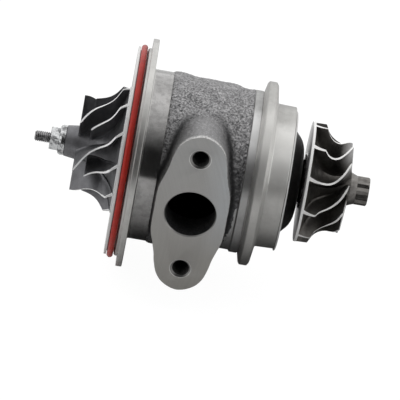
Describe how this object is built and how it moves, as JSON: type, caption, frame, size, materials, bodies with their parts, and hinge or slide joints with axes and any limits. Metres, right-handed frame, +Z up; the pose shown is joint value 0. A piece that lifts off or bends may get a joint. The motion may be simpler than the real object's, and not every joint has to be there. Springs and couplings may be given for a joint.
{
  "type": "turbocharger cartridge",
  "caption": "Turbocharger cartridge: flanged cast bearing housing with oil drain and feed, and a spinning shaft with compressor wheel and turbine wheel.",
  "frame": {"origin": "on the shaft axis, in the shoulder face of the compressor-side flange", "axes": "+X along the shaft from the compressor to the turbine, -Y is the way the oil drain flange faces, +Z up"},
  "size_m": [0.1063, 0.0723, 0.0722],
  "materials": {
    "cast_housing": "sand-cast middle, fine-turned flanges and spigot",
    "red_rubber": "moulded, slightly glossy",
    "alloy_plate": "turned",
    "black_rubber": "moulded",
    "spring_steel": "phosphated",
    "sheet_steel": "pressed",
    "bronze": "turned",
    "turned_steel": "ground",
    "ring_iron": "ground",
    "dark_sheet": "black heat-treated sheet with a bright edge",
    "zinc_steel": "bright zinc",
    "alloy_wheel": "cast, with machined blade edges",
    "heat_alloy": "investment cast, with machined blade edges"
  },
  "bodies": {
    "housing": {"bearing_housing": "cast_housing", "flange_o_ring": "red_rubber", "seal_insert": "alloy_plate", "insert_o_ring": "black_rubber", "insert_snap_ring": "spring_steel", "oil_deflector": "sheet_steel", "thrust_bearing": "bronze", "thrust_bearing_pins": "spring_steel", "compressor_piston_ring": "ring_iron", "turbine_piston_ring": "ring_iron", "bearing_snap_rings": "spring_steel", "heat_shield": "dark_sheet"},
    "rotor": {"shaft": "turned_steel", "turbine_wheel": "heat_alloy", "compressor_wheel": "alloy_wheel", "lock_nut": "zinc_steel", "thrust_sleeve": "turned_steel", "thrust_ring": "turned_steel"},
    "compressor_bush": {"journal_bearing_compressor": "bronze"},
    "turbine_bush": {"journal_bearing_turbine": "bronze"}
  },
  "joints": [
    {"name": "rotor_spin", "type": "hinge", "parent": "housing", "child": "rotor", "pos_m": [0, 0, 0], "axis": [1, 0, 0], "continuous": true},
    {"name": "compressor_bush_spin", "type": "hinge", "parent": "housing", "child": "compressor_bush", "pos_m": [0.0126, 0, 0], "axis": [1, 0, 0], "continuous": true},
    {"name": "turbine_bush_spin", "type": "hinge", "parent": "housing", "child": "turbine_bush", "pos_m": [0.0366, 0, 0], "axis": [1, 0, 0], "continuous": true}
  ]
}
